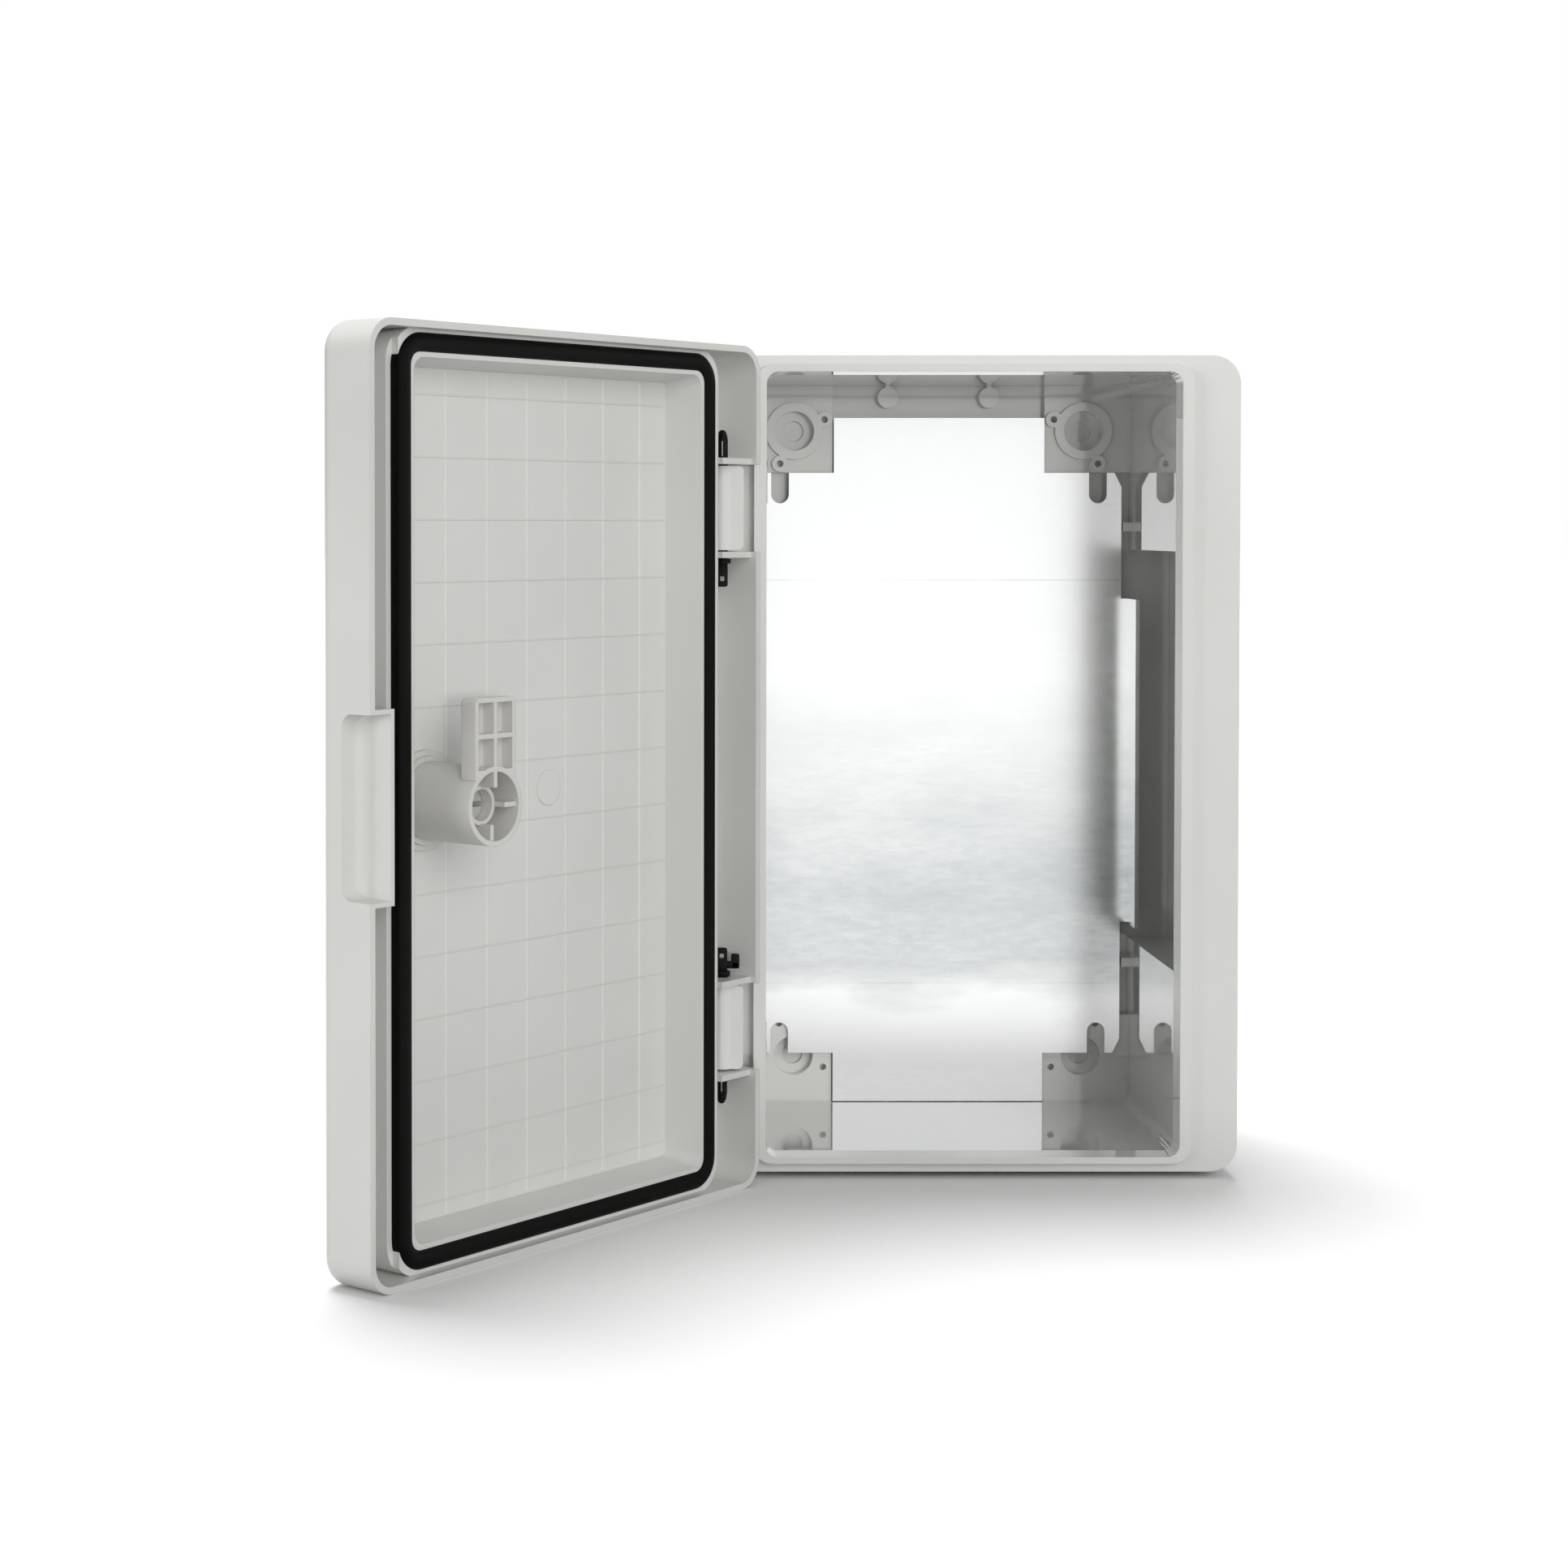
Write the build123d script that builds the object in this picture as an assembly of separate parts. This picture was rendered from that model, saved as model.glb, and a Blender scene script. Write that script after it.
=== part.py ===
from build123d import *
import math
import os

# Moulded wall enclosure with a hinged door, shown with the door swung open.
# Lengths are in millimetres. The origin is the centre of the flat back face,
# +Z is up, the wall is on the +Y side and the door is on the -Y side.

# Front opening of the body and its sealing lip, which the other sizes follow
opening_width = 149.6
opening_height = 283.6
opening_corner_radius = 4.5
lip_thickness = 4.5
lip_end_thickness = 2.5
lip_height = 3.0

# Body shell
side_flange = 21.4
end_flange = 5.9
body_depth = 106.0
body_corner_radius = 10.0
body_draft = 2.0
bay_wall = 4.0
top_wall = 6.0
floor_wall = 3.0
back_edge_chamfer = 1.4
flange_thickness = 3.0
return_depth = 5.0
return_wall = 3.0
lip_draft = 0.8
hinge_flange_drop = 3.2
step_behind_lip = 1.2

# Corner columns either side of the wide middle bays
bay_end_inset = 64.8
column_wall = 2.5

# Fixing bosses in the back corners and the small pillars above the plate
boss_height = 4.7
boss_reach_x = 34.2
boss_reach_z = 34.4
fixing_inset_x = 19.0
fixing_inset_z = 18.0
fixing_recess_radius = 7.7
knockout_radius = 4.0
knockout_skin = 1.2
ring_radius = 11.3
ring_height = 2.0
edge_lobe_inset = 3.5
side_lobe_inset = 3.4
side_lobe_rise = 4.5
lobe_radius = 3.2
pilot_radius = 1.3
pillar_x = 20.0
pillar_inset = 4.8
pillar_radius = 4.1
pillar_rib = 2.0
nub_inset = 55.8
nub_size = 3.6
nub_height = 9.0

# Galvanised mounting plate, lying loose on the bottom wall
plate_thickness = 1.5
plate_side_gap = 4.0
plate_top_gap = 12.9
upper_notch_height = 21.6
lower_notch_height = 19.2
tongue_cut_width = 2.8
tongue_cut_height = 5.6
slot_shift = 5.7
slot_width = 7.0
slot_depth = 12.0
plate_flange_inset = 71.2
plate_flange_depth = 18.0
plate_flange_flare = 3.8
bend_radius = 2.0
seat_gap = 0.3

# Door shell
door_side_overlap = 3.8
door_end_overlap = 2.3
door_depth = 22.0
door_corner_radius = 10.0
door_edge_radius = 5.0
door_skin = 3.0
skirt_wall = 2.3
rim_gap = 0.7

# Gasket channel and gasket, set a little towards the free edge
gasket_shift = 1.8
gasket_inset = 0.3
gasket_width = 6.0
gasket_end_wall = 1.1
channel_inner_wall = 1.6
channel_outer_wall = 2.1
channel_tip = 5.4
free_side_tip = 8.2
channel_floor = 12.0
gasket_gap = 0.3
land_slope = 2.2

# Mark left on the inside of the door where the plastic ran in
gate_mark_radius = 6.0
gate_mark_height = 0.3
gate_mark_x = -5.7
gate_mark_z = -1.6

# Hinges
open_angle = 130.0
hinge_inset = 8.8
hinge_setback = 11.0
hinge_end_inset = 57.3
hinge_bay = 31.0
hinge_rib = 2.2
rib_setback = 2.4
pin_radius = 2.0
pin_running_gap = 0.06
pin_press_gap = 0.02
pin_overhang = 7.0
pin_nose_taper = 12
pin_head_radius = 3.1
pin_head_thickness = 2.0
pin_tab_length = 4.8
pin_tab_thickness = 2.4
pin_hook_width = 1.7
knuckle_radius = 4.4
knuckle_end_gap = 0.5
tongue_reach = 7.5
tongue_half_depth = 3.2
tongue_corner_radius = 2.0
web_from = 2.2
web_to = 6.6
window_depth = 18.6
window_undercut = 0.2

# Finger grip in the free edge of the door
grip_height = 57.4
grip_depth = 9.2
grip_reach = 12.0
grip_wall = 1.6
grip_radius = 4.0

# Quarter-turn lock
lock_inset = 18.6
lock_z = -1.4
lock_hole_radius = 11.0
lock_fit = 0.3
bezel_radius = 14.0
bezel_thickness = 1.2
seal_section = 0.8
collar_radius = 16.2
collar_flange = 1.5
collar_step = 1.9
collar_thickness = 3.0
barrel_radius = 7.5
barrel_slot_width = 2.4
barrel_slot_depth = 3.0
barrel_slot_length = 10.0
stub_height = 6.0
stub_split_width = 1.6
stub_split_depth = 4.0
cam_radius = 12.6
cam_wall = 1.7
cam_reach = 11.5
cam_cup_depth = 16.0
cam_hub_radius = 6.4
cam_hub_wall = 1.4
cam_hub_setback = 6.0
cam_rib = 1.6
cam_rib_setback = 1.5
cam_tooth_width = 1.4
cam_tooth_height = 1.1
arm_root = 4.0
arm_length = 34.2
arm_width = 19.0
arm_thickness = 6.0
arm_wall = 1.6
arm_skin = 1.5
arm_tip_radius = 2.0

# How far joined solids run into each other, and how far a cut runs past a face
join = 0.5
past = 1.0

# Places worked out from the sizes above
body_width = opening_width + 2 * side_flange
body_height = opening_height + 2 * end_flange
door_width = body_width + 2 * door_side_overlap
door_height = body_height + 2 * door_end_overlap
flange_y = -body_depth
back_inner_y = -floor_wall
inner_half_width = opening_width / 2 + step_behind_lip
inner_half_height = opening_height / 2
bay_half_width = body_width / 2 - bay_wall
bay_half_height = inner_half_height - bay_end_inset
column_half_height = body_height / 2 - top_wall
boss_y = back_inner_y - boss_height
boss_inner_x = inner_half_width - boss_reach_x
boss_inner_z = inner_half_height - boss_reach_z
fixing_x = inner_half_width - fixing_inset_x
fixing_z = inner_half_height - fixing_inset_z
slot_x = fixing_x + slot_shift
plate_half_width = inner_half_width - plate_side_gap
plate_height = opening_height - plate_top_gap - seat_gap
plate_back_y = boss_y - seat_gap
plate_bottom = -inner_half_height + seat_gap
plate_top = plate_bottom + plate_height
rim_y = flange_y - rim_gap
door_front_y = rim_y - door_depth
panel_y = door_front_y + door_skin
hinge_x = -door_width / 2 + hinge_inset
hinge_y = flange_y - hinge_setback
hinge_z = door_height / 2 - hinge_end_inset
gasket_half_width = opening_width / 2 + gasket_inset
gasket_half_height = door_height / 2 - skirt_wall - gasket_end_wall - gasket_width
gasket_y = flange_y - lip_height - gasket_gap
channel_y = flange_y - channel_tip
lock_x = opening_width / 2 - lock_inset
lock_face_y = flange_y + cam_reach
cam_base_y = panel_y + collar_thickness + 2 * seat_gap
hinge_axis = Axis((hinge_x, hinge_y, 0), (0, 0, 1))


def slab(width, height, radius, back, front, x=0, taper=0):
    """Rounded block across the depth, from its back plane to its front plane."""
    plane = Plane(origin=(x, back, 0), x_dir=(1, 0, 0), z_dir=(0, -1, 0))
    return extrude(plane * RectangleRounded(width, height, radius), back - front, taper=taper)


def block(x_from, x_to, y_from, y_to, z_from, z_to):
    """Square-edged block between two corners."""
    size = (abs(x_to - x_from), abs(y_to - y_from), abs(z_to - z_from))
    middle = ((x_from + x_to) / 2, (y_from + y_to) / 2, (z_from + z_to) / 2)
    return Pos(*middle) * Box(*size)


def rod(radius, back, front, x=0, z=0):
    """Round bar along the depth, from its back plane to its front plane."""
    plane = Plane(origin=(x, back, z), x_dir=(1, 0, 0), z_dir=(0, -1, 0))
    return extrude(plane * Circle(radius), back - front)


def upright(radius, x, y, z_from, z_to):
    """Round bar standing upright."""
    return extrude(Plane((x, y, z_from)) * Circle(radius), z_to - z_from)


def gasket_ring(back, front):
    """Rounded rectangular ring with the outline of the gasket."""
    width = 2 * gasket_half_width
    height = 2 * gasket_half_height
    radius = opening_corner_radius
    outside = slab(width + 2 * gasket_width, height + 2 * gasket_width, radius + gasket_width,
                   back, front, x=gasket_shift)
    return outside - slab(width, height, radius, back + past, front - past, x=gasket_shift)


def body_shell():
    """Drafted outer box with its sealing lip, hollowed from the front."""
    draft_angle = math.degrees(math.atan(body_draft / body_depth))
    front = Plane(origin=(0, flange_y, 0), x_dir=(1, 0, 0), z_dir=(0, 1, 0))
    outline = RectangleRounded(body_width, body_height, body_corner_radius)
    shell = extrude(front * outline, body_depth, taper=draft_angle)
    shell = chamfer(shell.faces().sort_by(Axis.Y)[-1].edges(), back_edge_chamfer)
    lip_width = opening_width + 2 * lip_thickness
    lip_span = opening_height + 2 * lip_end_thickness
    shell += slab(lip_width, lip_span, opening_corner_radius + lip_end_thickness,
                  flange_y + past, flange_y - lip_height)
    mouth = Plane(origin=(0, flange_y - lip_height, 0), x_dir=(1, 0, 0), z_dir=(0, 1, 0))
    opening = mouth * RectangleRounded(opening_width, opening_height, opening_corner_radius)
    depth = lip_height + return_depth
    shell -= extrude(opening, depth, taper=math.degrees(math.atan(lip_draft / depth)))
    shell -= slab(2 * inner_half_width, opening_height, opening_corner_radius - past,
                  back_inner_y, flange_y + return_depth)
    return shell


def bay(side):
    """Room behind the flange between the corner columns of one side."""
    drop = hinge_flange_drop if side < 0 else 0
    front = flange_y + drop + flange_thickness
    inner = side * (opening_width / 2 - past)
    room = block(inner, side * bay_half_width, front, back_inner_y,
                 -bay_half_height, bay_half_height)
    outer = side * (opening_width / 2 + return_wall)
    return room - block(inner - side * past, outer, front - past, flange_y + return_depth,
                        -bay_half_height - past, bay_half_height + past)


def column_pocket(side, level):
    """Hollow of one corner column, open at the back face."""
    drop = hinge_flange_drop if side < 0 else 0
    front = flange_y + drop + flange_thickness
    inner = side * (inner_half_width + column_wall)
    low = level * (bay_half_height + column_wall)
    return block(inner, side * bay_half_width, front, past, low, level * column_half_height)


def corner_boss(side, level):
    """Raised pad of one back corner, with its screw lobes."""
    x = side * fixing_x
    z = level * fixing_z
    edge_lobe = (side * slot_x, level * (boss_inner_z + edge_lobe_inset))
    side_lobe = (side * (boss_inner_x + side_lobe_inset), level * (fixing_z + side_lobe_rise))
    pad = block(side * boss_inner_x, side * (inner_half_width + past), back_inner_y + past,
                boss_y, level * boss_inner_z, level * (inner_half_height + past))
    top = boss_y
    if level > 0:
        top = boss_y - ring_height
        pad += rod(ring_radius, boss_y + past, top, x, z)
        for lobe_x, lobe_z in (edge_lobe, side_lobe):
            pad += rod(lobe_radius, boss_y + past, top, lobe_x, lobe_z)
    for lobe_x, lobe_z in (edge_lobe, side_lobe):
        pad -= rod(pilot_radius, back_inner_y, top - past, lobe_x, lobe_z)
    return pad


def fixing_knockout(side, level):
    """Stepped blind recess that is broken through for a wall screw."""
    x = side * fixing_x
    z = level * fixing_z
    wide = rod(fixing_recess_radius, back_inner_y, boss_y - ring_height - past, x, z)
    return wide + rod(knockout_radius, -knockout_skin, back_inner_y - past, x, z)


def pillar(side, level):
    """Low round pillar joined to the top or bottom wall by a thin rib."""
    x = side * pillar_x
    z = level * (inner_half_height - pillar_inset)
    post = rod(pillar_radius, back_inner_y + past, boss_y, x, z)
    rib = block(x - pillar_rib / 2, x + pillar_rib / 2, back_inner_y + past, boss_y, z,
                level * (inner_half_height + past))
    return post + rib


def nub(side, level):
    """Small rib that keeps the plate off the side wall."""
    z = level * (inner_half_height - nub_inset)
    return block(side * (inner_half_width - nub_size), side * (inner_half_width + past),
                 back_inner_y + past, back_inner_y - nub_height, z - nub_size / 2,
                 z + nub_size / 2)


def hinge_knuckle(level):
    """Knuckle and tongue that the pin runs in, on a web from the sunken flange."""
    low = level * hinge_z - hinge_bay / 2 + knuckle_end_gap
    high = level * hinge_z + hinge_bay / 2 - knuckle_end_gap
    tongue = block(hinge_x, hinge_x + tongue_reach, hinge_y - tongue_half_depth,
                   hinge_y + tongue_half_depth, low, high)
    corners = tongue.edges().filter_by(Axis.Y).group_by(Axis.X)[-1]
    tongue = fillet(corners, tongue_corner_radius)
    tongue += upright(knuckle_radius, hinge_x, hinge_y, low, high)
    tongue += block(hinge_x + web_from, hinge_x + web_to, hinge_y,
                    flange_y + hinge_flange_drop + join, low + tongue_corner_radius,
                    high - tongue_corner_radius)
    return tongue - upright(pin_radius + pin_running_gap, hinge_x, hinge_y, low - past,
                            high + past)


def make_body():
    """One-piece moulded body."""
    body = body_shell()
    for side in (-1, 1):
        body -= bay(side)
        for level in (-1, 1):
            body -= column_pocket(side, level)
            body += nub(side, level)
    lip_edge = -(opening_width / 2 + lip_thickness)
    body -= block(-body_width / 2 - past, lip_edge, flange_y - lip_height - past,
                  flange_y + hinge_flange_drop, -body_height, body_height)
    for side in (-1, 1):
        for level in (-1, 1):
            body += corner_boss(side, level)
            body -= fixing_knockout(side, level)
            body += pillar(side, level)
    for level in (-1, 1):
        body += hinge_knuckle(level)
    return body


def plate_side_edge(side):
    """Bent edge along one side of the plate."""
    front = plate_back_y - plate_thickness
    low = plate_bottom + plate_flange_inset
    high = plate_top - plate_flange_inset
    inner = side * (plate_half_width - past)
    outer = side * (plate_half_width + plate_flange_flare)
    edge = block(inner, outer, plate_back_y, front - plate_flange_depth, low, high)
    edge -= block(inner - side * past, outer - side * plate_thickness, front,
                  front - plate_flange_depth - past, low - past, high + past)
    outside = edge.edges().filter_by(Axis.Z).group_by(Axis.Y)[-1]
    return fillet(outside.sort_by(Axis.X)[-1 if side > 0 else 0], bend_radius)


def plate_corner_cut(side, notch_z, level):
    """Open slot and slanted corner at one end of a side tongue."""
    back = plate_back_y + past
    front = plate_back_y - plate_thickness - past
    end_z = notch_z - level * (slot_depth - slot_width / 2)
    cut = rod(slot_width / 2, back, front, side * slot_x, end_z)
    cut += block(side * slot_x - slot_width / 2, side * slot_x + slot_width / 2, back, front,
                 end_z, notch_z + level * past)
    edge = side * plate_half_width
    corner = Polyline((edge - side * tongue_cut_width, notch_z), (edge, notch_z),
                      (edge, notch_z - level * tongue_cut_height), close=True)
    plane = Plane(origin=(0, back, 0), x_dir=(1, 0, 0), z_dir=(0, -1, 0))
    return cut + extrude(plane * make_face(corner), back - front)


def make_plate():
    """Flat steel plate with notched corners, open slots and two bent side edges."""
    front = plate_back_y - plate_thickness
    notch_x = boss_inner_x - seat_gap
    upper = plate_top - upper_notch_height
    lower = plate_bottom + lower_notch_height
    plate = block(-notch_x, notch_x, plate_back_y, front, plate_bottom, plate_top)
    plate += block(-plate_half_width, plate_half_width, plate_back_y, front, lower, upper)
    for side in (-1, 1):
        plate += plate_side_edge(side)
        plate -= plate_corner_cut(side, upper, 1)
        plate -= plate_corner_cut(side, lower, -1)
    return plate


def door_shell():
    """Shallow tray with a rounded front edge."""
    tray = slab(door_width, door_height, door_corner_radius, rim_y, door_front_y)
    tray = fillet(tray.faces().sort_by(Axis.Y)[0].edges(), door_edge_radius)
    hollow = slab(door_width - 2 * skirt_wall, door_height - 2 * skirt_wall,
                  door_corner_radius - skirt_wall, rim_y + past, panel_y)
    return tray - hollow


def gasket_land():
    """Raised land round the panel that carries the gasket channel."""
    radius = opening_corner_radius
    free_side = gasket_shift + gasket_half_width + gasket_width
    outer_width = 2 * (gasket_half_width + gasket_width + channel_outer_wall)
    outer_height = door_height - 2 * skirt_wall + 2 * join
    land = slab(outer_width, outer_height, radius + gasket_width, channel_y, panel_y - join,
                x=gasket_shift)
    lean = math.degrees(math.atan(land_slope / (channel_y - panel_y)))
    land -= slab(2 * (gasket_half_width - channel_inner_wall),
                 2 * (gasket_half_height - channel_inner_wall), radius, channel_y,
                 panel_y - join, x=gasket_shift, taper=lean)
    land -= block(free_side - join, free_side + outer_width, channel_y + past,
                  flange_y - free_side_tip, -door_height, door_height)
    return land - gasket_ring(channel_y + past, flange_y - channel_floor)


def hinge_ribs():
    """Pairs of ribs that hold each hinge pin."""
    ribs = []
    outer = -door_width / 2 + skirt_wall - join
    inner = gasket_shift - gasket_half_width - gasket_width - channel_outer_wall + join
    for level in (-1, 1):
        for end in (-1, 1):
            z = level * hinge_z + end * (hinge_bay + hinge_rib) / 2
            ribs.append(block(outer, inner, rim_y - rib_setback, panel_y - join,
                              z - hinge_rib / 2, z + hinge_rib / 2))
    return ribs


def grip_scoop():
    """Walls of the finger scoop, added inside the skirt of the free edge."""
    floor_x = door_width / 2 - grip_depth - grip_wall
    half = grip_height / 2 + grip_wall
    return block(floor_x, door_width / 2 - join, rim_y, rim_y - grip_reach - grip_wall,
                 -half, half)


def grip_hollow():
    """Rounded hollow of the finger scoop, open at the side and at the rim."""
    half = grip_height / 2
    room = block(door_width / 2 - grip_depth, door_width / 2 + grip_depth, rim_y + grip_radius * 2,
                 rim_y - grip_reach, -half, half)
    inner = room.edges().filter_by(Axis.Z).group_by(Axis.X)[0].sort_by(Axis.Y)[0]
    ends = room.edges().filter_by(Axis.X).group_by(Axis.Y)[0]
    return fillet([inner] + list(ends), grip_radius)


def make_door():
    """One-piece moulded door, in its shut place."""
    door = door_shell() + gasket_land()
    door += rod(gate_mark_radius, panel_y + gate_mark_height, panel_y - join,
                gate_mark_x, gate_mark_z)
    for rib in hinge_ribs():
        door += rib
    door += grip_scoop()
    door -= grip_hollow()
    for level in (-1, 1):
        middle = level * hinge_z
        half = hinge_bay / 2
        door -= block(-door_width / 2 - past, -door_width / 2 + skirt_wall + window_undercut,
                      rim_y + past, rim_y - window_depth, middle - half, middle + half)
        reach = half + hinge_rib + past
        door -= upright(pin_radius + pin_press_gap, hinge_x, hinge_y, middle - reach,
                        middle + reach)
    door -= at_lock(rod(lock_hole_radius, panel_y + past, door_front_y - past))
    door -= at_lock(rod(bezel_radius + lock_fit, door_front_y + bezel_thickness + seal_section,
                        door_front_y - past))
    return door


def make_gasket():
    """Foamed ring with bevelled edges, lying in the door's channel."""
    ring = gasket_ring(gasket_y, flange_y - channel_floor)
    face = ring.faces().sort_by(Axis.Y)[-1]
    return chamfer(face.edges(), gasket_width / 4)


def make_hinge_pin(level):
    """Plastic pin with a tapered tip and a hooked head, for one hinge."""
    middle = level * hinge_z
    reach = hinge_bay / 2 + hinge_rib
    tip = middle + level * (reach + pin_overhang)
    start = middle - level * (reach + pin_overhang)
    shaft_end = tip - level * pin_overhang / 2
    pin = upright(pin_radius, hinge_x, hinge_y, min(start, shaft_end), max(start, shaft_end))
    nose = Plane((hinge_x, hinge_y, shaft_end), z_dir=(0, 0, level))
    pin += extrude(nose * Circle(pin_radius), pin_overhang / 2, taper=pin_nose_taper)
    head_face = middle - level * (reach + seat_gap)
    head_back = head_face - level * pin_head_thickness
    pin += upright(pin_head_radius, hinge_x, hinge_y, min(head_face, head_back),
                   max(head_face, head_back))
    half = pin_tab_thickness / 2
    tab_x = hinge_x - pin_tab_length
    pin += block(tab_x, hinge_x, hinge_y - half, hinge_y + half, start,
                 start + level * pin_tab_thickness)
    pin += block(tab_x, tab_x + pin_hook_width, hinge_y - half, hinge_y + half, start,
                 start - level * pin_tab_thickness)
    return pin


def at_lock(shape):
    """Move a shape made round the depth axis to the axis of the lock."""
    return Pos(lock_x, 0, lock_z) * shape


def make_lock_housing():
    """Fixed bush of the lock, its round bezel let into the door front."""
    bush = rod(bezel_radius, door_front_y + bezel_thickness, door_front_y)
    bush += rod(lock_hole_radius - pin_press_gap, panel_y + collar_thickness, door_front_y + join)
    bush -= rod(barrel_radius + pin_running_gap, panel_y + collar_thickness + past,
                door_front_y - past)
    return at_lock(bush)


def make_lock_seal():
    """Thin sealing ring under the bezel."""
    front = door_front_y + bezel_thickness
    ring = rod(bezel_radius - lock_fit, front + seal_section, front)
    ring -= rod(lock_hole_radius + lock_fit, front + seal_section + past, front - past)
    return at_lock(ring)


def make_lock_collar():
    """Stepped round nut that clamps the bush from inside."""
    collar = rod(collar_radius, panel_y + collar_flange, panel_y)
    collar += rod(collar_radius - collar_step, panel_y + collar_thickness, panel_y)
    collar -= rod(lock_hole_radius + pin_press_gap, panel_y + collar_thickness + past,
                  panel_y - past)
    return at_lock(collar)


def make_lock_barrel():
    """Turning plug with a key slot in front and a split stub inside the cam."""
    stub_y = lock_face_y - cam_cup_depth + stub_height
    barrel = rod(barrel_radius, panel_y + collar_thickness + seat_gap, door_front_y)
    barrel += rod(cam_hub_radius - cam_hub_wall - seat_gap, stub_y, panel_y)
    barrel -= block(-barrel_slot_length / 2, barrel_slot_length / 2, door_front_y - past,
                    door_front_y + barrel_slot_depth, -barrel_slot_width / 2,
                    barrel_slot_width / 2)
    barrel -= block(-barrel_radius, barrel_radius, stub_y + past, stub_y - stub_split_depth,
                    -stub_split_width / 2, stub_split_width / 2)
    return at_lock(barrel)


def cup_rib(turn, inner, width, top):
    """Rib inside the cup wall, turned about the lock axis."""
    rib = block(inner, cam_radius - join, lock_face_y - cam_cup_depth - join, top, -width / 2,
                width / 2)
    return rib.rotate(Axis.Y, -turn)


def cam_arm():
    """Ribbed arm that points up when the lock is open."""
    face = lock_face_y
    back = face - arm_thickness
    arm = block(-arm_width / 2, arm_width / 2, face, back, cam_radius - arm_root, arm_length)
    arm = fillet(arm.edges().filter_by(Axis.Y).group_by(Axis.Z)[-1], arm_tip_radius)
    cells_from = cam_radius - past
    cell_width = (arm_width - 3 * arm_wall) / 2
    cell_height = (arm_length - cells_from - 2 * arm_wall) / 2
    for column in (-1, 1):
        for row in (0, 1):
            x = column * (cell_width + arm_wall) / 2
            z = cells_from + row * (cell_height + arm_wall)
            arm -= block(x - cell_width / 2, x + cell_width / 2, face + past, back + arm_skin,
                         z, z + cell_height)
    return arm - rod(cam_radius - cam_wall / 2, face + past, back - past)


def make_lock_cam():
    """Cup-shaped cam with a hub, ribs and teeth in the cup, and its arm."""
    face = lock_face_y
    cup_floor = face - cam_cup_depth
    cam = rod(cam_radius, face, cam_base_y)
    cam -= rod(cam_radius - cam_wall, face + past, cup_floor)
    cam += rod(cam_hub_radius, face - cam_hub_setback, cam_base_y)
    cam -= rod(cam_hub_radius - cam_hub_wall, face + past, cam_base_y - past)
    for turn, top in ((90, face), (180, face - cam_rib_setback), (270, face - cam_rib_setback)):
        cam += cup_rib(turn, cam_hub_radius - join, cam_rib, top)
    for turn in (-15, 5, 25):
        cam += cup_rib(turn, cam_radius - cam_wall - cam_tooth_height, cam_tooth_width,
                       face - cam_rib_setback)
    return at_lock(cam + cam_arm())


def swing_open(shape):
    """Turn a piece of the door from its shut place to its open place."""
    return shape.rotate(hinge_axis, -open_angle)


pieces = {
    "body": make_body(),
    "mounting_plate": make_plate(),
    "door": swing_open(make_door()),
    "door_gasket": swing_open(make_gasket()),
    "upper_hinge_pin": swing_open(make_hinge_pin(1)),
    "lower_hinge_pin": swing_open(make_hinge_pin(-1)),
    "lock_housing": swing_open(make_lock_housing()),
    "lock_seal": swing_open(make_lock_seal()),
    "lock_collar": swing_open(make_lock_collar()),
    "lock_barrel": swing_open(make_lock_barrel()),
    "lock_cam": swing_open(make_lock_cam()),
}

os.makedirs("parts", exist_ok=True)
for name, shape in pieces.items():
    export_step(shape, f"parts/{name}.step")
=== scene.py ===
import math

import bpy
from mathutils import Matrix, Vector


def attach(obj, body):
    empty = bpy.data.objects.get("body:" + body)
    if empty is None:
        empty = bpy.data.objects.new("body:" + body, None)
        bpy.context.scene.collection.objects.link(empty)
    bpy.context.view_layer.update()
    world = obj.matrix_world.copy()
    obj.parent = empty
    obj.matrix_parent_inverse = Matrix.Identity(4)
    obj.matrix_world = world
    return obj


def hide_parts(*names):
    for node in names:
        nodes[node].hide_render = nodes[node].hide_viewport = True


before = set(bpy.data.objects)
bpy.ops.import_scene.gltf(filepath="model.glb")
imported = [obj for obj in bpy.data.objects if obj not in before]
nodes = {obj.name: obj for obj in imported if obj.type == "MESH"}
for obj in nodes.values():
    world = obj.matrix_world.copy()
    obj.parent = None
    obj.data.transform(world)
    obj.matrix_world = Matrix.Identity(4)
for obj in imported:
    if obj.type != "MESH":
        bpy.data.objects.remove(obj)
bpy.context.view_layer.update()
bpy.ops.object.select_all(action="DESELECT")

MM = 0.001

# The door swings about this upright line, and stands this far open at rest
HINGE = Vector((-91.2, -117.0, 0.0)) * MM
OPEN_ANGLE = math.radians(-130)
FLOOR_Z = -150 * MM

# Inside of the door in its shut place, in millimetres: panel face, channel floor and gasket
PANEL_Y = -125.7
CHANNEL_FLOOR_Y = -118.0
GASKET_SHIFT = 1.8
GASKET_OUTER = (162.2, 293.2)
GASKET_CORNER = 10.5

# Height of the gasket's straight flank, and the steps inward and up over its crown
FLANK_HEIGHT = 6.4
CROWN_STEPS = ((0.25, 0.55), (0.5, 0.55), (0.75, 0.5), (0.9, 0.3), (0.9, 0.05), (0.9, -0.2),
               (0.8, -0.4), (0.6, -0.5), (0.4, -0.6))

# Middle of a hinge above the middle of the door, and the outer face of its ribs
HINGE_Z = 92.7
RIB_REACH = 17.7
PIN_RADIUS = 2.0

# The pin's tip past the rib: how far each step goes down and how much it narrows
TIP_STEPS = ((5.0, 1.0), (1.8, 0.86), (1.2, 0.74), (0.6, 0.5))

# The marking lines on the panel are this far apart, and are rooted this deep in it
LINE_STEP = 20
LINE_ROOT = 0.3

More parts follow.
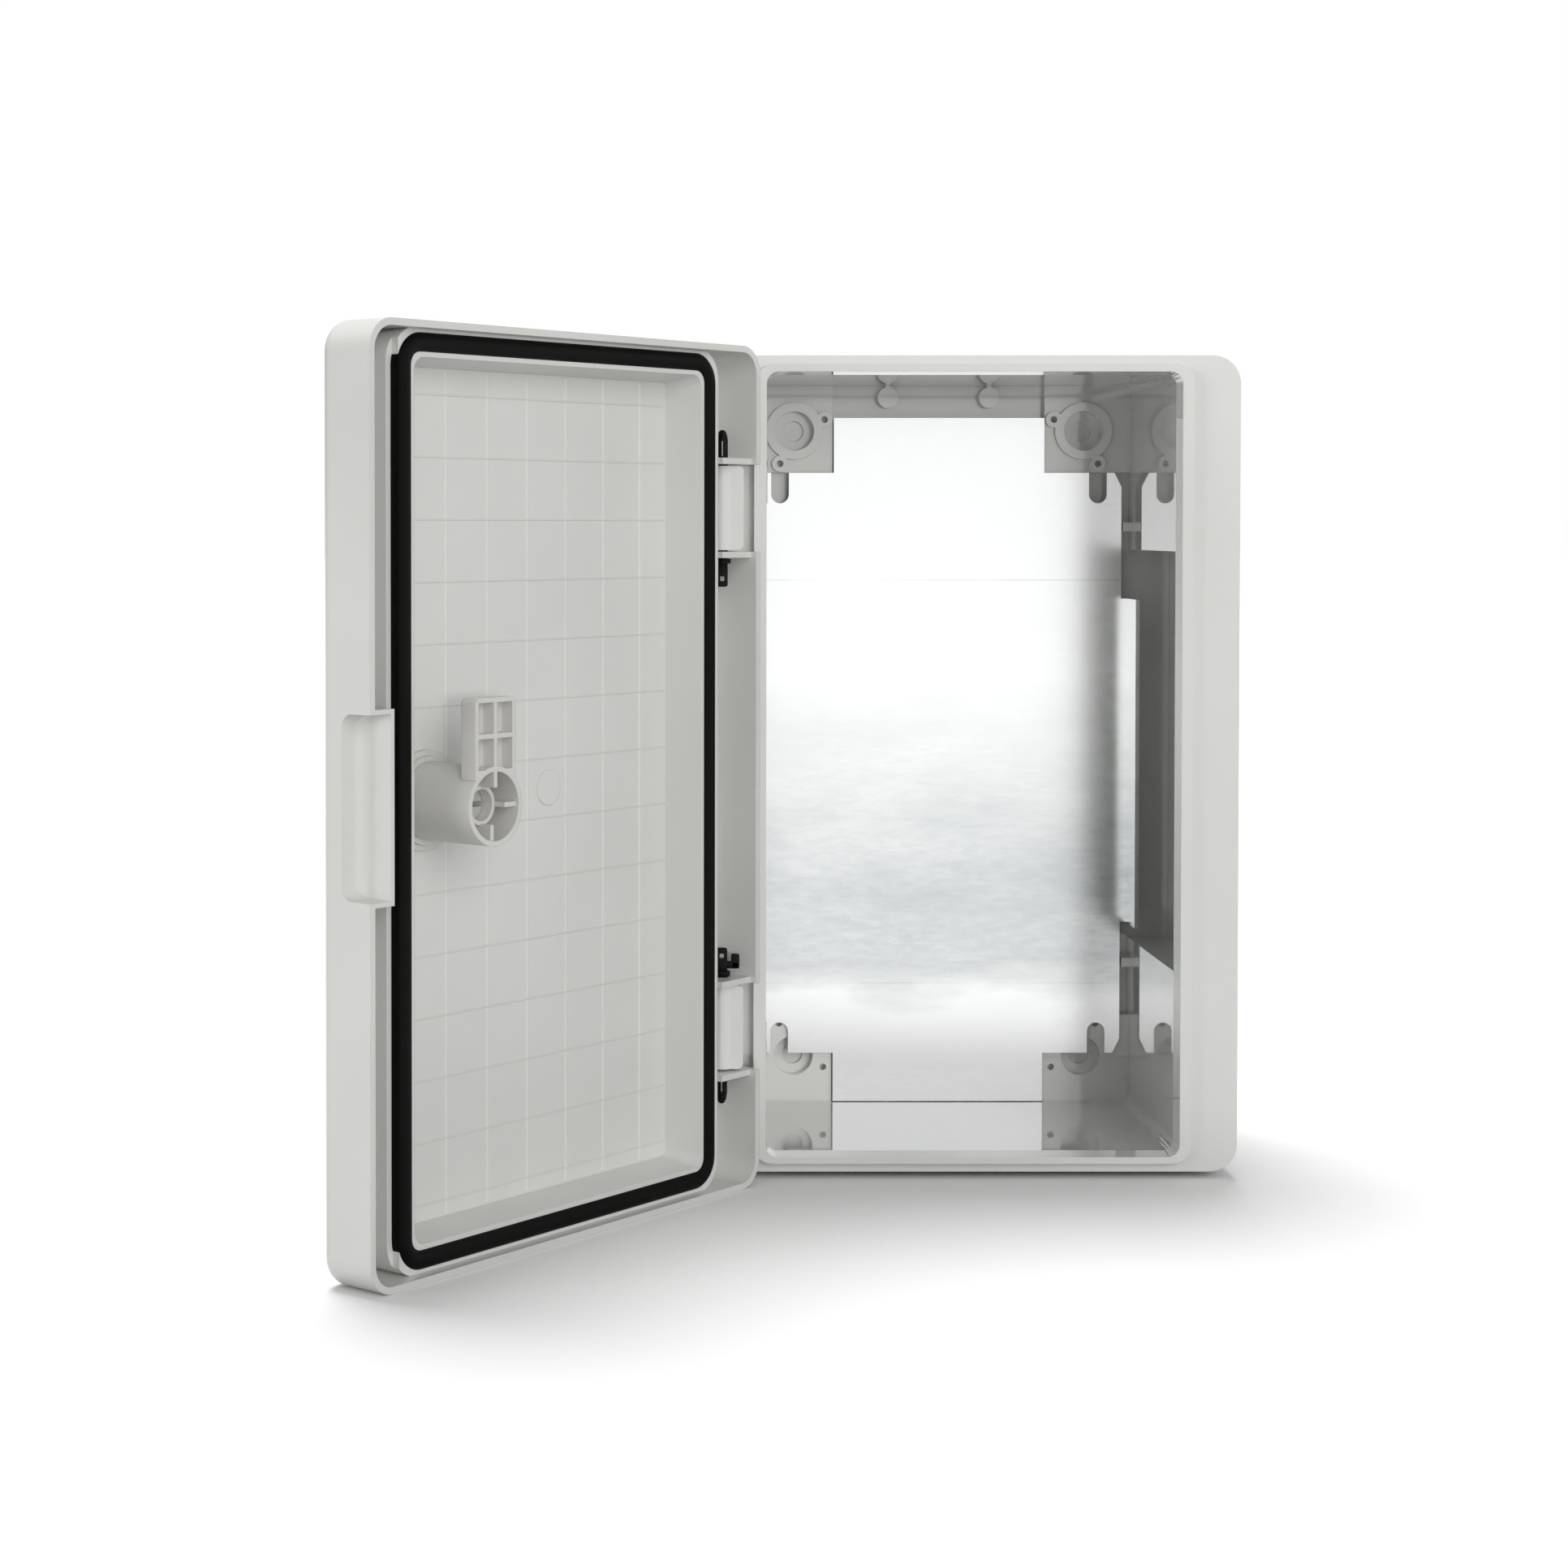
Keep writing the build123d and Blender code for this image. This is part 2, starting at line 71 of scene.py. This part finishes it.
# Most of a noise texture lies between these two values
NOISE_LOW = 0.3
NOISE_HIGH = 0.7

# Name, direction, strength and spread in degrees of each lamp
LAMPS = (("key", (-0.40, 0.86, -0.34), 1.05, 40),
         ("front", (-0.20, 0.98, 0.0), 1.0, 10),
         ("left_fill", (0.90, 0.43, -0.05), 1.4, 30),
         ("overhead", (0.1, -0.3, -1.0), 2.4, 30))


# Shader helpers

def linear(code):
    """Linear colour of an sRGB hex value."""
    channels = [int(code[i:i + 2], 16) / 255 for i in (1, 3, 5)]
    return [c / 12.92 if c <= 0.04045 else ((c + 0.055) / 1.055) ** 2.4 for c in channels] + [1.0]


def fill(tree, node, inputs):
    """Set or link the inputs of a node, given by name, or as a tuple in their own order.

    A value that is a node stands for its first output.
    """
    for key, value in inputs.items() if isinstance(inputs, dict) else enumerate(inputs):
        if isinstance(value, bpy.types.Node):
            value = value.outputs[0]
        if isinstance(value, bpy.types.NodeSocket):
            tree.links.new(value, node.inputs[key])
        else:
            node.inputs[key].default_value = value


def add(tree, kind, inputs=(), stops=(), **settings):
    """Add one shader node with its settings, its inputs and the stops of its colour ramp."""
    node = tree.nodes.new("ShaderNode" + kind)
    for name, value in settings.items():
        setattr(node, name, value)
    if stops:
        points = node.color_ramp.elements
        while len(points) < len(stops):
            points.new(0.5)
        for point, (position, colour) in zip(points, stops):
            point.position = position
            point.color = linear(colour)
    fill(tree, node, inputs)
    return node


def new_material(name):
    """Empty material with a plain shader; gives back the material, its tree and the shader."""
    made = bpy.data.materials.new(name)
    made.use_nodes = True
    tree = made.node_tree
    return made, tree, tree.nodes["Principled BSDF"]


# Finishes

def moulded_abs(name, tint, shade, rough, polish):
    """Injection-moulded ABS: even pale grey, glossy, with faint flow waves in the gloss."""
    made, tree, shader = new_material(name)
    place = add(tree, "TexCoord").outputs["Object"]
    # Slow change of tone of a percent or two, 60 mm across
    tone = add(tree, "TexNoise", {"Vector": place, "Scale": 16.0, "Detail": 3.0})
    colour = add(tree, "ValToRGB", (tone,), stops=((NOISE_LOW, shade), (NOISE_HIGH, tint)))
    roughness = add(tree, "MapRange", (tone, NOISE_LOW, NOISE_HIGH, rough - 0.02, rough + 0.03))
    # Flow waves 25 mm across bend the reflections. The grain that takes off the last shine
    # is 0.6 mm across, drawn coarser than the real one so that it shows
    waves = add(tree, "TexNoise", {"Vector": place, "Scale": 38.0, "Detail": 1.0})
    grain = add(tree, "TexNoise", {"Vector": place, "Scale": 1800.0, "Detail": 2.0})
    soft_edge = add(tree, "Bevel", {"Radius": 0.35 * MM}, samples=4)
    flow = add(tree, "Bump", {"Height": waves, "Strength": 0.06, "Distance": 0.5 * MM,
                              "Normal": soft_edge})
    skin = add(tree, "Bump", {"Height": grain, "Strength": 0.03, "Distance": 0.05 * MM,
                              "Normal": flow})
    # Where the mould is polished, the coat mirrors strongly at a grazing look
    fill(tree, shader, {"Base Color": colour, "Roughness": roughness, "Normal": skin,
                        "IOR": 1.53, "Coat Weight": polish, "Coat Roughness": 0.03})
    return made


def galvanised_sheet():
    """Hot-dip galvanised sheet: bright zinc with fine rolling streaks and a duller band."""
    made, tree, shader = new_material("galvanised_sheet")
    place = add(tree, "TexCoord").outputs["Object"]
    height = add(tree, "SeparateXYZ", (place,)).outputs["Z"]
    # Rolling streaks run across the sheet, about 6 mm long and 1.7 mm high
    stretched = add(tree, "Mapping", {"Vector": place, "Scale": (160.0, 160.0, 600.0)})
    streaks = add(tree, "TexNoise", {"Vector": stretched, "Scale": 1.0, "Detail": 5.0,
                                     "Roughness": 0.65})
    # Zinc crystals 9 mm across, only just to be seen
    spangle = add(tree, "TexVoronoi", {"Vector": place, "Scale": 110.0})
    # Clouds about 70 mm wide and 25 mm high make the borders of the band uneven
    patches = add(tree, "Mapping", {"Vector": place, "Scale": (14.0, 14.0, 40.0)})
    cloud = add(tree, "TexNoise", {"Vector": patches, "Scale": 1.0, "Detail": 6.0,
                                   "Roughness": 0.6})
    shift = add(tree, "MapRange", (cloud, NOISE_LOW, NOISE_HIGH, -8 * MM, 8 * MM))
    ragged = add(tree, "Math", (height, shift), operation="ADD")
    # The band begins 95 mm below the middle and fades out upwards, 30 mm above the middle
    rise = add(tree, "MapRange", (ragged, -102 * MM, -88 * MM, 0.0, 1.0))
    fall = add(tree, "MapRange", (ragged, -55 * MM, 30 * MM, 1.0, 0.0))
    band = add(tree, "Math", (rise, fall), operation="MULTIPLY")
    blotches = add(tree, "Math", (streaks, cloud), operation="MULTIPLY")
    mottle = add(tree, "MapRange", (blotches, 0.12, 0.36, 1.0, 0.6))
    dull = add(tree, "Math", (band, mottle), operation="MULTIPLY")
    colour = add(tree, "ValToRGB", (dull,),
                 stops=((0.0, "#FAFBFB"), (0.5, "#E1E3E3"), (1.0, "#C6CACB")))
    # Two scribed lines, broken where the scriber skipped. They are 0.7 mm wide, wider than
    # the real ones, so that they show
    near = []
    for line_z in (65.0 * MM, -94.5 * MM):
        offset = add(tree, "Math", (height, line_z), operation="SUBTRACT")
        near.append(add(tree, "Math", (offset,), operation="ABSOLUTE"))
    nearest = add(tree, "Math", near, operation="MINIMUM")
    line = add(tree, "MapRange", (nearest, 0.2 * MM, 0.5 * MM, 0.16, 0.0))
    kept = add(tree, "MapRange", (cloud, 0.42, 0.52, 0.0, 1.0))
    mark = add(tree, "Math", (line, kept), operation="MULTIPLY")
    marked = add(tree, "MixRGB", {"Fac": mark, "Color1": colour, "Color2": linear("#8F979A")})
    roughness = add(tree, "MapRange", (streaks, NOISE_LOW, NOISE_HIGH, 0.2, 0.24))
    crystal = add(tree, "Bump", {"Height": spangle, "Strength": 0.02, "Distance": 0.2 * MM})
    skin = add(tree, "Bump", {"Height": streaks, "Strength": 0.015, "Distance": 0.1 * MM,
                              "Normal": crystal})
    fill(tree, shader, {"Base Color": marked, "Metallic": 1.0, "Roughness": roughness,
                        "Normal": skin})
    return made


def foamed_seal():
    """Foamed polyurethane seal: near black, dull, with a closed skin and fine pores."""
    made, tree, shader = new_material("foamed_polyurethane")
    place = add(tree, "TexCoord").outputs["Object"]
    # Pores 0.7 mm across, drawn coarser than the real ones so that they show
    pores = add(tree, "TexVoronoi", {"Vector": place, "Scale": 1400.0})
    skin = add(tree, "Bump", {"Height": pores, "Strength": 0.2, "Distance": 0.1 * MM})
    # The skin is a little duller or shinier every 8 mm
    cloud = add(tree, "TexNoise", {"Vector": place, "Scale": 120.0, "Detail": 3.0})
    colour = add(tree, "ValToRGB", (cloud,), stops=((NOISE_LOW, "#040404"), (NOISE_HIGH, "#080807")))
    roughness = add(tree, "MapRange", (cloud, NOISE_LOW, NOISE_HIGH, 0.5, 0.62))
    fill(tree, shader, {"Base Color": colour, "Roughness": roughness, "Normal": skin,
                        "Specular IOR Level": 0.1})
    return made


def black_nylon():
    """Moulded nylon: black with a soft sheen and a fine grain."""
    made, tree, shader = new_material("moulded_nylon_pin")
    place = add(tree, "TexCoord").outputs["Object"]
    # Grain 1.1 mm across, drawn coarser than the real one so that it shows
    grain = add(tree, "TexNoise", {"Vector": place, "Scale": 900.0, "Detail": 2.0})
    colour = add(tree, "ValToRGB", (grain,), stops=((NOISE_LOW, "#050505"), (NOISE_HIGH, "#0B0B0A")))
    roughness = add(tree, "MapRange", (grain, NOISE_LOW, NOISE_HIGH, 0.38, 0.48))
    soft_edge = add(tree, "Bevel", {"Radius": 0.2 * MM}, samples=4)
    skin = add(tree, "Bump", {"Height": grain, "Strength": 0.1, "Distance": 0.1 * MM,
                              "Normal": soft_edge})
    fill(tree, shader, {"Base Color": colour, "Roughness": roughness, "Normal": skin,
                        "Specular IOR Level": 0.15})
    return made


shell_abs = moulded_abs("moulded_abs_shell", "#DADBD7", "#D5D6D2", 0.05, 1.0)
door_abs = moulded_abs("moulded_abs_door", "#DBDCD8", "#D5D6D2", 0.22, 0.0)
# Lighter copy of the door's plastic for the upright marking lines: a painted highlight that stands
# in for the gloss on their rounded tops
upright_highlight_abs = moulded_abs("moulded_abs_line_painted_highlight", "#E3E4E0", "#DFE0DC", 0.3, 0.0)
lock_abs = moulded_abs("moulded_abs_lock", "#D6D5D1", "#CECDC9", 0.3, 0.0)
plug_abs = moulded_abs("moulded_abs_plug", "#B9BAB7", "#AEAFAC", 0.3, 0.0)
zinc = galvanised_sheet()
foam = foamed_seal()
nylon = black_nylon()
for node_name, finish in (
        ("body", shell_abs), ("mounting_plate", zinc), ("door", door_abs), ("door_gasket", foam),
        ("upper_hinge_pin", nylon), ("lower_hinge_pin", nylon), ("lock_housing", lock_abs),
        ("lock_seal", foam), ("lock_collar", lock_abs), ("lock_barrel", plug_abs),
        ("lock_cam", lock_abs)):
    for slot in nodes[node_name].material_slots:
        slot.material = finish


# Modelling helpers; sizes come in millimetres, and every piece has its place in its mesh

def choose(piece):
    """Make one piece the only selected and active one."""
    bpy.ops.object.select_all(action="DESELECT")
    bpy.context.view_layer.objects.active = piece
    piece.select_set(True)


def open_mesh(piece):
    """Enter edit mode on one piece with everything selected."""
    choose(piece)
    bpy.ops.object.mode_set(mode="EDIT")
    bpy.ops.mesh.select_all(action="SELECT")


def close_mesh(piece):
    """Merge doubles, turn all faces outward and leave edit mode."""
    bpy.ops.mesh.select_all(action="SELECT")
    bpy.ops.mesh.remove_doubles(threshold=0.005 * MM)
    bpy.ops.mesh.normals_make_consistent(inside=False)
    bpy.ops.object.mode_set(mode="OBJECT")
    piece.select_set(False)


def pick_faces(piece, test):
    """In edit mode, select just the faces whose middle and corner count pass a test."""
    bpy.ops.mesh.select_mode(type="FACE")
    bpy.ops.mesh.select_all(action="DESELECT")
    bpy.ops.object.mode_set(mode="OBJECT")
    for face in piece.data.polygons:
        face.select = test(face.center / MM, len(face.vertices))
    bpy.ops.object.mode_set(mode="EDIT")


def bar(low, high, edge):
    """Square bar between two corners, its edges bevelled."""
    low = Vector(low) * MM
    high = Vector(high) * MM
    bpy.ops.mesh.primitive_cube_add(size=1)
    piece = bpy.context.object
    open_mesh(piece)
    bpy.ops.transform.resize(value=high - low)
    bpy.ops.transform.translate(value=(low + high) / 2)
    bpy.ops.mesh.bevel(offset=edge * MM, segments=2, affect="EDGES")
    close_mesh(piece)
    return piece


def open_rod(radius, low, high):
    """Upright round rod on the hinge line between two heights, left in edit mode."""
    bpy.ops.mesh.primitive_cylinder_add(vertices=24, radius=radius * MM, depth=1)
    piece = bpy.context.object
    open_mesh(piece)
    bpy.ops.transform.resize(value=(1, 1, (high - low) * MM))
    bpy.ops.transform.translate(value=(HINGE[0], HINGE[1], (low + high) / 2 * MM))
    return piece


def cut_out(piece, cutter):
    """Take the shape of a cutter out of a piece and drop the cutter."""
    cut = piece.modifiers.new("cut", "BOOLEAN")
    cut.object = cutter
    cut.operation = "DIFFERENCE"
    cut.solver = "EXACT"
    bpy.context.view_layer.objects.active = piece
    bpy.ops.object.modifier_apply(modifier=cut.name)
    bpy.data.objects.remove(cutter)


def turn_in_place(piece, turn, pivot):
    """Turn a piece about a point and keep its place in its mesh."""
    piece.rotation_euler = turn
    piece.location = pivot - piece.rotation_euler.to_matrix() @ pivot
    choose(piece)
    bpy.ops.object.transform_apply(location=True, rotation=True, scale=True)
    piece.select_set(False)


def join_pieces(pieces, name):
    """Join several closed shells into one piece."""
    bpy.ops.object.select_all(action="DESELECT")
    for piece in pieces:
        piece.select_set(True)
    bpy.context.view_layer.objects.active = pieces[0]
    bpy.ops.object.join()
    pieces[0].name = name
    return pieces[0]


def smooth(piece, degrees):
    """Shade a piece smooth but for edges sharper than an angle."""
    choose(piece)
    bpy.ops.object.shade_smooth_by_angle(angle=math.radians(degrees))
    piece.select_set(False)


def give(piece, material, body):
    """Set the finish of a new piece and the body that it rides with."""
    piece.data.materials.clear()
    piece.data.materials.append(material)
    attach(piece, body)


# New pieces

def gasket_bead():
    """Foam bead with a domed crown, poured all round the channel of the door."""
    bpy.ops.mesh.primitive_plane_add(size=1)
    bead = bpy.context.object
    bead.name = "gasket_bead"
    open_mesh(bead)
    bpy.ops.transform.resize(value=(GASKET_OUTER[0] * MM, GASKET_OUTER[1] * MM, 1))
    bpy.ops.transform.translate(value=(GASKET_SHIFT * MM, 0, CHANNEL_FLOOR_Y * MM))
    bpy.ops.mesh.bevel(offset=GASKET_CORNER * MM, segments=10, affect="VERTICES")
    bpy.ops.mesh.select_mode(type="FACE")
    bpy.ops.mesh.select_all(action="SELECT")
    lift = {"value": (0, 0, FLANK_HEIGHT * MM)}
    bpy.ops.mesh.extrude_region_move(TRANSFORM_OT_translate=lift)
    for inward, up in CROWN_STEPS:
        bpy.ops.mesh.inset(thickness=inward * MM, depth=up * MM, use_even_offset=True)
    # The inner flank goes back down, and the open foot is closed between the two flanks
    crown_rise = sum(up for inward, up in CROWN_STEPS)
    drop = {"value": (0, 0, -(FLANK_HEIGHT + crown_rise) * MM)}
    bpy.ops.mesh.extrude_region_move(TRANSFORM_OT_translate=drop)
    pick_faces(bead, lambda middle, corners: corners > 4)
    bpy.ops.mesh.delete(type="ONLY_FACE")
    bpy.ops.mesh.select_mode(type="EDGE")
    bpy.ops.mesh.select_all(action="DESELECT")
    bpy.ops.mesh.select_non_manifold()
    bpy.ops.mesh.bridge_edge_loops()
    close_mesh(bead)
    # Stood up on the shut door, then swung open with it
    turn_in_place(bead, (math.radians(-90), 0, 0), Vector((0, 0, 0)))
    turn_in_place(bead, (0, 0, OPEN_ANGLE), HINGE)
    smooth(bead, 40)
    give(bead, foam, "door")
    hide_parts("door_gasket")


def marking_lines(name, material, low, high, step, count):
    """Row of low moulded ribs on the door panel, one made and then repeated."""
    row = bar(low, high, 0.1)
    row.name = name
    open_mesh(row)
    for _ in range(count - 1):
        bpy.ops.mesh.duplicate_move(TRANSFORM_OT_translate={"value": Vector(step) * MM})
    bpy.ops.mesh.select_all(action="SELECT")
    bpy.ops.mesh.normals_make_consistent(inside=False)
    bpy.ops.object.mode_set(mode="OBJECT")
    turn_in_place(row, (0, 0, OPEN_ANGLE), HINGE)
    give(row, material, "door")


def hinge_pin(name, node_name, mirrored, hook_turn):
    """Hinge pin with a split pointed tip and a hooked head that keeps it from dropping out."""
    top = -HINGE_Z + RIB_REACH
    foot = -HINGE_Z - RIB_REACH

    def above(x, y, z):
        """Point beside the hinge line, above the upper rib."""
        return HINGE / MM + Vector((x, y, top + z))

    def below(x, y, z):
        """Point beside the hinge line, below the lower rib."""
        return HINGE / MM + Vector((x, y, foot - z))

    shaft = open_rod(PIN_RADIUS, foot - 1.5, top + 0.5)
    pick_faces(shaft, lambda middle, corners: corners > 4 and middle[2] < foot)
    for down, size in TIP_STEPS:
        bpy.ops.mesh.extrude_region_move(TRANSFORM_OT_translate={"value": (0, 0, -down * MM)})
        bpy.ops.transform.resize(value=(size, size, 1), center_override=HINGE)
    close_mesh(shaft)
    cut_out(shaft, bar(below(-0.3, -4, 6.2), below(0.3, 4, 0.8), 0.05))
    # The head: a flat stem with a hole near its top, and a hook beside it
    stem = bar(above(-2.0, -1.2, 0.3), above(2.0, 1.2, 10.4), 0.8)
    cut_out(stem, bar(above(-0.8, -3, 6.6), above(0.8, 3, 8.4), 0.4))
    arm = bar(above(0, -1.1, 3.0), above(6.3, 1.1, 5.6), 0.5)
    leg = bar(above(3.4, -1.1, 3.0), above(6.3, 1.1, 8.2), 0.5)
    for piece in (arm, leg):
        turn_in_place(piece, (0, 0, hook_turn), HINGE)
    flange = open_rod(3.1, top + 0.3, top + 2.1)
    bpy.ops.mesh.bevel(offset=0.3 * MM, segments=2, affect="EDGES")
    close_mesh(flange)
    pin = join_pieces([shaft, stem, arm, leg, flange], name)
    if mirrored:
        open_mesh(pin)
        bpy.ops.transform.resize(value=(1, 1, -1), center_override=(0, 0, 0))
        bpy.ops.mesh.normals_make_consistent(inside=False)
        bpy.ops.object.mode_set(mode="OBJECT")
    smooth(pin, 35)
    give(pin, nylon, "door")
    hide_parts(node_name)


gasket_bead()
# The upright lines get the lighter plastic, a painted highlight; the lines across keep the door's
# own plastic
marking_lines("marking_lines_upright", upright_highlight_abs, (-55.4, PANEL_Y - LINE_ROOT, -136.0),
              (-54.2, PANEL_Y + 0.12, 136.0), (LINE_STEP, 0, 0), 7)
marking_lines("marking_lines_across", door_abs, (-69.0, PANEL_Y - LINE_ROOT, -131.9),
              (72.6, PANEL_Y + 0.25, -131.3), (0, 0, LINE_STEP), 14)
hinge_pin("lower_pin_detail", "lower_hinge_pin", False, 0.0)
# The upper pin is the lower one upside down, with its hook turned out of sight
hinge_pin("upper_pin_detail", "upper_hinge_pin", True, math.radians(140))


# Studio

def lay_floor():
    """Wide pale floor under the lowest point of the door, white to the camera."""
    bpy.ops.mesh.primitive_plane_add(size=40, location=(0, 0, FLOOR_Z))
    floor = bpy.context.object
    floor.name = "studio_floor"
    made, tree, shader = new_material("floor_paper")
    place = add(tree, "TexCoord").outputs["Object"]
    cloud = add(tree, "TexNoise", {"Vector": place, "Scale": 3.0})
    paper = add(tree, "ValToRGB", (cloud,), stops=((NOISE_LOW, "#F8F8F8"), (NOISE_HIGH, "#FAFAFA")))
    # Scattered rays meet a greyer floor, so that little light is thrown up under the object
    scattered = add(tree, "LightPath").outputs["Is Diffuse Ray"]
    colour = add(tree, "MixRGB", {"Fac": scattered, "Color1": paper, "Color2": linear("#9A9A9A")})
    fill(tree, shader, {"Base Color": colour, "Roughness": 0.9})
    floor.data.materials.append(made)
    floor.select_set(False)


def light_world():
    """Dim even surroundings, white to the camera, and in reflections white but on the left."""
    world = bpy.data.worlds.new("studio_white")
    bpy.context.scene.world = world
    world.use_nodes = True
    tree = world.node_tree
    tree.nodes.clear()
    rays = add(tree, "LightPath").outputs
    towards = add(tree, "TexCoord").outputs["Generated"]
    across = add(tree, "SeparateXYZ", (towards,)).outputs["X"]
    right = add(tree, "MapRange", (across, -0.55, 0.0, 0.12, 1.0))
    seen = add(tree, "Math", (rays["Is Glossy Ray"], right), operation="MULTIPLY")
    # The last value is what lights the object from all round
    for other in (rays["Is Camera Ray"], rays["Is Transmission Ray"], 0.36):
        seen = add(tree, "Math", (seen, other), operation="MAXIMUM")
    sky = add(tree, "Background", {"Color": linear("#FFFFFF"), "Strength": seen})
    add(tree, "OutputWorld", {"Surface": sky})


def hang_lamp(name, towards, strength, spread):
    """Soft distant lamp that shines along a direction."""
    data = bpy.data.lights.new(name, "SUN")
    data.energy = strength
    data.angle = math.radians(spread)
    lamp = bpy.data.objects.new(name, data)
    lamp.rotation_euler = Vector(towards).to_track_quat("-Z", "Y").to_euler()
    # The polished walls and the zinc mirror the white surroundings and not the lamps
    lamp.visible_glossy = False
    bpy.context.scene.collection.objects.link(lamp)


def place_camera():
    """Camera at the photograph's viewpoint: level but for 1.3 degrees, square to the body."""
    data = bpy.data.cameras.new("camera")
    data.sensor_width = 36.0
    data.lens = 65.4
    data.shift_x = 0.1361
    data.shift_y = -0.1231
    data.clip_end = 100
    camera = bpy.data.objects.new("camera", data)
    camera.location = Vector((-145.3, -1133.7, 86.2)) * MM
    camera.rotation_euler = (math.radians(90 - 1.3), 0, 0)
    bpy.context.scene.collection.objects.link(camera)
    bpy.context.scene.camera = camera


lay_floor()
light_world()
for lamp_values in LAMPS:
    hang_lamp(*lamp_values)
place_camera()
bpy.context.scene.view_settings.view_transform = "Standard"
